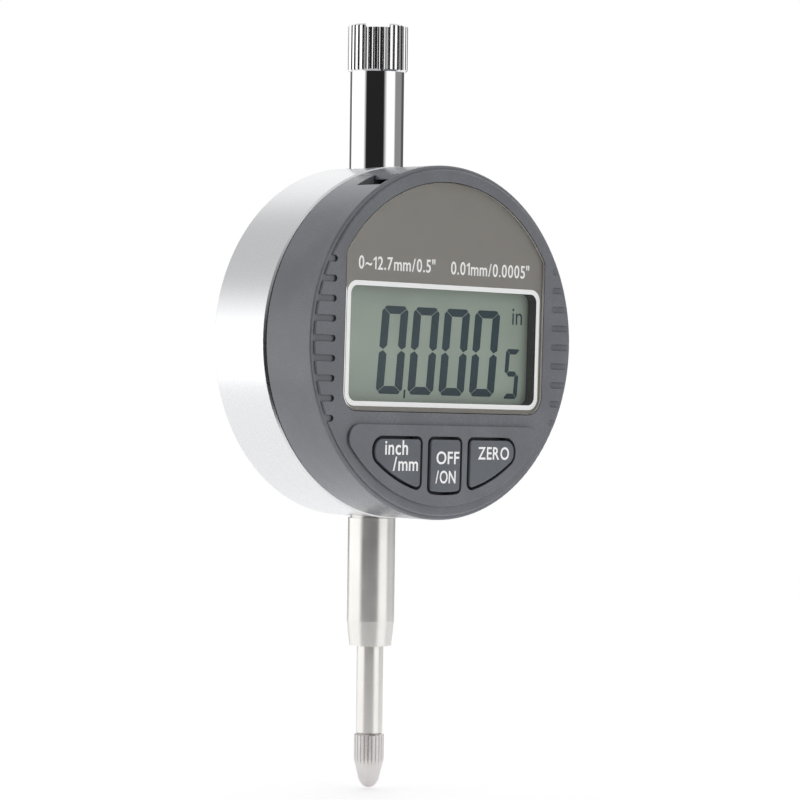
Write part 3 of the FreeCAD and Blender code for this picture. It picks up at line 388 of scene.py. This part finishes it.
def solid_from(curve, name):
    """A curve's closed mesh, its depth from -1 to 1, with the curve thrown away."""
    holder = bpy.data.objects.new(name, curve)
    bpy.context.collection.objects.link(holder)
    bpy.context.view_layer.update()
    mesh = bpy.data.meshes.new_from_object(holder)
    bpy.data.objects.remove(holder)
    bpy.data.curves.remove(curve)
    work = bmesh.new()
    work.from_mesh(mesh)
    bmesh.ops.remove_doubles(work, verts=work.verts, dist=1e-5)
    bmesh.ops.recalc_face_normals(work, faces=work.faces)
    work.to_mesh(mesh)
    work.free()
    mesh.name = name
    return mesh


def set_on_face(name, mesh, back, slot, body):
    """Puts a flat mesh on the face as ink that starts at a height above the shell's rear edge."""
    for vertex in mesh.vertices:
        x, y, z = vertex.co
        vertex.co = FACE @ Vector((x, y, back + (z + 1) / 2 * PRINT))
    piece = bpy.data.objects.new(name, mesh)
    bpy.context.collection.objects.link(piece)
    mesh.materials.append(FINISHES[slot])
    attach(piece, body)


def flat_curve(name, outlines):
    """A curve with closed outlines; an outline inside another one is a hole."""
    curve = bpy.data.curves.new(name, "CURVE")
    curve.dimensions = "2D"
    curve.fill_mode = "BOTH"
    curve.extrude = 1.0
    for outline in outlines:
        spline = curve.splines.new("POLY")
        spline.points.add(len(outline) - 1)
        for point, (x, y) in zip(spline.points, outline):
            point.co = (x, y, 0, 1)
        spline.use_cyclic_u = True
    return curve


def plate(name, outlines, back, slot):
    """A flat printed piece on the face, inside closed outlines."""
    set_on_face(name, solid_from(flat_curve(name, outlines), name), back, slot, "face")


def arc(x, y, radius, first, last, steps):
    """Points of an arc, its angles in degrees."""
    angles = [math.radians(first + (last - first) * step / steps) for step in range(steps + 1)]
    return [(x + radius * math.cos(angle), y + radius * math.sin(angle)) for angle in angles]


def rounded_box(half_x, half_y, middle, radius):
    """A rectangle with round corners, its middle on the face's centre line."""
    points = []
    for quarter, (side, rise) in enumerate(((1, 1), (-1, 1), (-1, -1), (1, -1))):
        x, y = side * (half_x - radius), middle + rise * (half_y - radius)
        points += arc(x, y, radius, 90 * quarter, 90 * quarter + 90, 10)
    return points


def width_of(mesh):
    """A mesh's lowest and highest x."""
    across = [vertex.co.x for vertex in mesh.vertices]
    return min(across), max(across)


def text_mesh(words, weight):
    """One line of the plain built-in typeface, as a mesh."""
    curve = bpy.data.curves.new(words, "FONT")
    curve.body = words
    curve.extrude = 1.0
    curve.offset = weight
    curve.resolution_u = 6
    return solid_from(curve, words)


CAPITAL = max(vertex.co.y for vertex in text_mesh("H", 0.0).vertices)  # height of a capital as it comes
GLYPH_GAP = 0.11  # between two glyphs of a legend, where a line of type is 1 high
BOLD = 0.012


def figure_one(weight):
    """The figure 1 with its flag, which the built-in typeface draws as a bare bar."""
    stem, bar, top = 0.24 * CAPITAL, 0.13 * CAPITAL + 2 * weight, CAPITAL
    curve = flat_curve("1", [[(stem, 0), (stem + bar, 0), (stem + bar, top), (stem + 0.3 * bar, top),
                              (0, 0.80 * top), (0, 0.66 * top), (stem, 0.80 * top)]])
    return solid_from(curve, "1")


def lettering(words, weight):
    """Words as one mesh, their glyphs set evenly apart."""
    work = bmesh.new()
    at = 0.0
    for glyph in words:
        mesh = figure_one(weight) if glyph == "1" else text_mesh(glyph, weight)
        low, high = width_of(mesh)
        for vertex in mesh.vertices:
            vertex.co.x += at - low
        work.from_mesh(mesh)
        bpy.data.meshes.remove(mesh)
        at += high - low + GLYPH_GAP
    joined = bpy.data.meshes.new(words)
    work.to_mesh(joined)
    work.free()
    return joined


def legend(name, words, left, right, base, height, back, slot, body, weight=BOLD):
    """Words that fill left to right, on a base line, with capitals of a height."""
    mesh = lettering(words, weight)
    low, high = width_of(mesh)
    for vertex in mesh.vertices:
        x, y, z = vertex.co
        vertex.co = (left + (x - low) * (right - left) / (high - low), base + y * height / CAPITAL, z)
    set_on_face(name, mesh, back, slot, body)


# The lens's outline, and the white line that frames the window in its print.
LENS_RADIUS, LENS_HALF, LENS_LOW, LENS_CORNER = 26.35, 22.25, -11.45, 3.0
LINE_X, LINE_Y, LINE_MIDDLE = 21.65, 10.12, -0.58
LINE_WIDTH, LINE_RADIUS = 0.78, 2.0
BENT = 0.1  # how far the line must stand to the right to be seen in place through the lens

PRINT_AT = LENS_BACK + 0.01  # the brown print is inside the lens, on its back
WHITE_AT = PRINT_AT + 1.5 * PRINT  # and the white stands before it, nearer to the reader


def lens_outline(margin):
    """The lens's outline, drawn in by a margin: an arc over two straight sides."""
    radius, half, low = LENS_RADIUS - margin, LENS_HALF - margin, LENS_LOW + margin
    corner = LENS_CORNER - margin
    reach = math.degrees(math.acos(half / radius))
    points = arc(0, 0, radius, reach, 180 - reach, 60)
    points += arc(-half + corner, low + corner, corner, 180, 270, 10)
    points += arc(half - corner, low + corner, corner, 270, 360, 10)
    return points


def line_outline(margin):
    """The white line's outer edge, drawn in by a margin."""
    points = rounded_box(LINE_X - margin, LINE_Y - margin, LINE_MIDDLE, LINE_RADIUS - 0.8 * margin)
    return [(x + BENT, y) for x, y in points]


plate("lens_print", [lens_outline(0.06), line_outline(0.5 * LINE_WIDTH)], PRINT_AT, "lens_print")
plate("lens_frame_line", [line_outline(0), line_outline(LINE_WIDTH)], WHITE_AT, "white_print")

# Name, words, left, right, base line, height of a capital, where the ink starts, and the body.
LEGENDS = (
    ("lens_range_legend", "0~12.7mm/0.5\"", -19.3, -2.5, 11.45, 2.05, WHITE_AT, "face"),
    ("lens_step_legend", "0.01mm/0.0005\"", 1.05, 19.05, 11.40, 2.05, WHITE_AT, "face"),
    ("unit_legend_upper", "inch", -13.5, -8.5, -18.45, 2.3, KEY_FRONT, "unit_key"),
    ("unit_legend_lower", "/mm", -11.7, -6.2, -21.05, 2.2, KEY_FRONT, "unit_key"),
    ("power_legend_upper", "OFF", -2.1, 3.0, -19.9, 2.0, KEY_FRONT, "power_key"),
    ("power_legend_lower", "/ON", -2.2, 2.3, -23.05, 2.0, KEY_FRONT, "power_key"),
    ("zero_legend", "ZERO", 7.3, 14.4, -19.05, 2.0, KEY_FRONT, "zero_key"),
)
for name, words, left, right, base, height, back, body in LEGENDS:
    legend(name, words, left, right, base, height, back, "white_print", body)

LEAN = 0.075  # how far a displayed figure leans for each millimetre of its height
ZERO, FIVE = "abcdef", "acdfg"  # the segments that are lit
FIGURE_LEFT, FIGURE_PITCH, FIGURES = -13.15, 6.95, 4
POINT = [(-7.05, -9.3), (-6.65, -9.3), (-6.55, -7.9), (-6.95, -7.9)]


def seven_segments(lit, left, base, width, height, rail, bar, gap):
    """The lit segments of a leaning seven-segment figure, as outlines; its rails stand, its bars lie."""
    middle, cut = height / 2, 0.45 * rail
    shapes = {
        "a": [(cut + gap, height), (width - cut - gap, height), (width - cut / 2 - gap, height - cut / 2),
              (width - rail, height - bar), (rail, height - bar), (cut / 2 + gap, height - cut / 2)],
        "f": [(0, height - cut - gap), (cut / 2, height - cut / 2 - gap), (rail - gap, height - bar - gap),
              (rail - gap, middle + bar / 2 + gap), (rail / 2, middle + gap), (0, middle + 0.4 * bar)],
        "g": [(rail / 2 + gap, middle), (rail + gap, middle + bar / 2), (width - rail - gap, middle + bar / 2),
              (width - rail / 2 - gap, middle), (width - rail - gap, middle - bar / 2),
              (rail + gap, middle - bar / 2)],
    }
    shapes["e"] = [(x, height - y) for x, y in shapes["f"]]
    shapes["d"] = [(x, height - y) for x, y in shapes["a"]]
    shapes["b"] = [(width - x, y) for x, y in shapes["f"]]
    shapes["c"] = [(width - x, y) for x, y in shapes["e"]]
    return [[(left + x + LEAN * y, base + y) for x, y in shapes[name]] for name in lit]


figures = []
for index in range(FIGURES):
    figures += seven_segments(ZERO, left=FIGURE_LEFT + FIGURE_PITCH * index, base=-8.65, width=5.75,
                              height=14.4, rail=1.75, bar=1.3, gap=0.07)
figures += seven_segments(FIVE, left=15.5, base=-8.9, width=3.3, height=8.4, rail=0.95, bar=0.9, gap=0.05)
figures.append(POINT)
plate("lcd_digits", figures, LCD_FRONT, "lcd_ink")
legend("lcd_unit", "in", 17.3, 19.6, 3.6, 2.9, LCD_FRONT, "lcd_ink", "face", weight=0.0)

# ---------------------------------------------------------------------------------------------
# Floor, light and camera
# ---------------------------------------------------------------------------------------------

CAMERA_PLACE = (-0.3990, -0.4451, 0.0369)
CAMERA_TURN = (90.0 - 0.821, 0.729, -42.306)  # tilt, roll and heading in degrees
CAMERA_LENS = 159.8
TOWARD = Vector(CAMERA_PLACE[:2]).normalized()  # from the object to the camera, along the floor
FLOOR_RADIUS = 0.30
FLOOR_BEHIND = 0.20  # the floor's middle stands this far behind the object, seen from the camera
FLOOR_BELOW = 0.2 * MM  # under the contact point


def studio_floor():
    """A round pale floor just under the contact point."""
    mesh = bpy.data.meshes.new("studio_floor")
    work = bmesh.new()
    bmesh.ops.create_circle(work, cap_ends=True, radius=FLOOR_RADIUS, segments=96)
    work.to_mesh(mesh)
    work.free()
    made, tree, shader = start("studio_floor")
    pale = spread(tree, noise(tree, even(2), 2.0), 0.90, 0.92)
    colour = add(tree, "CombineColor", Red=pale, Green=pale, Blue=pale)
    put(tree, shader.inputs["Base Color"], colour.outputs[0])
    shader.inputs["Roughness"].default_value = 0.9
    shader.inputs["Emission Color"].default_value = (1, 1, 1, 1)
    shader.inputs["Emission Strength"].default_value = 0.35
    mesh.materials.append(made)
    floor = bpy.data.objects.new("studio_floor", mesh)
    away = -FLOOR_BEHIND * TOWARD
    floor.location = (away.x, away.y, cad_box[0][2] - FLOOR_BELOW)
    bpy.context.collection.objects.link(floor)


def camera():
    """The camera, from the left of the display and about level with the dial."""
    data = bpy.data.cameras.new("camera")
    data.lens = CAMERA_LENS
    data.sensor_width = 36.0
    data.clip_start = 0.01
    data.clip_end = 50.0
    eye = bpy.data.objects.new("camera", data)
    tilt, roll, heading = (math.radians(angle) for angle in CAMERA_TURN)
    turn = Matrix.Rotation(heading, 4, "Z") @ Matrix.Rotation(tilt, 4, "X") @ Matrix.Rotation(roll, 4, "Z")
    eye.matrix_world = Matrix.Translation(CAMERA_PLACE) @ turn
    bpy.context.collection.objects.link(eye)
    bpy.context.scene.camera = eye


# The light that stands round the object, by degrees from the camera's side, where +90 is the right of
# the picture. At the object's own height a dark side behind the camera lies between two tall white
# boxes, a grey wall follows on the right, and both sides end in a dark edge before the white backdrop.
# Higher up the same is softer, with no dark edges.
LEVEL = (
    (-180, 1.00), (-168, 1.00), (-163, 0.16), (-137, 0.16), (-130, 1.45), (-60, 1.45),
    (-45, 0.02), (29, 0.02), (45, 1.24), (79, 1.24), (86, 0.30), (126, 0.30), (132, 0.10),
    (163, 0.10), (168, 1.00), (180, 1.00),
)
ABOVE = (
    (-180, 1.15), (-155, 1.05), (-135, 0.60), (-60, 0.70), (-40, 0.30), (22, 0.30), (40, 0.90),
    (120, 0.90), (140, 1.15), (180, 1.15),
)
ABOVE_FROM, ABOVE_TO = 0.12, 0.40  # the sine of the height where the level light passes into the one above
OVERHEAD_FROM, OVERHEAD_TO = 0.60, 0.85  # and where that passes into the light overhead
OVERHEAD = (0.75, 0.75, 0.765, 1)


def round_ramp(tree, share, stops):
    """Light by the share of a turn, which is a half on the camera's side."""
    ramp = add(tree, "ValToRGB")
    put(tree, ramp.inputs[0], share)
    marks = ramp.color_ramp.elements
    while len(marks) < len(stops):
        marks.new(0.5)
    for mark, (degrees, light) in zip(marks, stops):
        mark.position = (degrees + 180) / 360
        mark.color = (light, light, light, 1)
    return ramp.outputs[0]


def surround():
    """The studio round the object as an environment; the camera itself sees plain white."""
    world = bpy.data.worlds.new("studio")
    world.use_nodes = True
    bpy.context.scene.world = world
    tree = world.node_tree
    tree.nodes.clear()
    split = add(tree, "SeparateXYZ", Vector=add(tree, "TexCoord").outputs["Generated"])
    x, y, z = split.outputs
    ahead = maths(tree, "ADD", maths(tree, "MULTIPLY", x, TOWARD.x), maths(tree, "MULTIPLY", y, TOWARD.y))
    aside = maths(tree, "ADD", maths(tree, "MULTIPLY", x, -TOWARD.y), maths(tree, "MULTIPLY", y, TOWARD.x))
    angle = maths(tree, "ARCTAN2", aside, ahead)
    share = maths(tree, "ADD", maths(tree, "DIVIDE", angle, 2 * math.pi), 0.5)
    sides = blended(tree, spread(tree, z, 0.0, 1.0, ABOVE_FROM, ABOVE_TO),
                    round_ramp(tree, share, LEVEL), round_ramp(tree, share, ABOVE))
    studio = blended(tree, spread(tree, z, 0.0, 1.0, OVERHEAD_FROM, OVERHEAD_TO), sides, OVERHEAD)
    lit = add(tree, "Background", Color=studio, Strength=1.0)
    plain = add(tree, "Background", Color=(1, 1, 1, 1), Strength=1.0)
    seen = mixture(tree, add(tree, "LightPath").outputs["Is Camera Ray"], lit, plain)
    add(tree, "OutputWorld", Surface=seen.outputs[0])


studio_floor()
camera()
surround()
bpy.context.scene.view_settings.view_transform = "Standard"
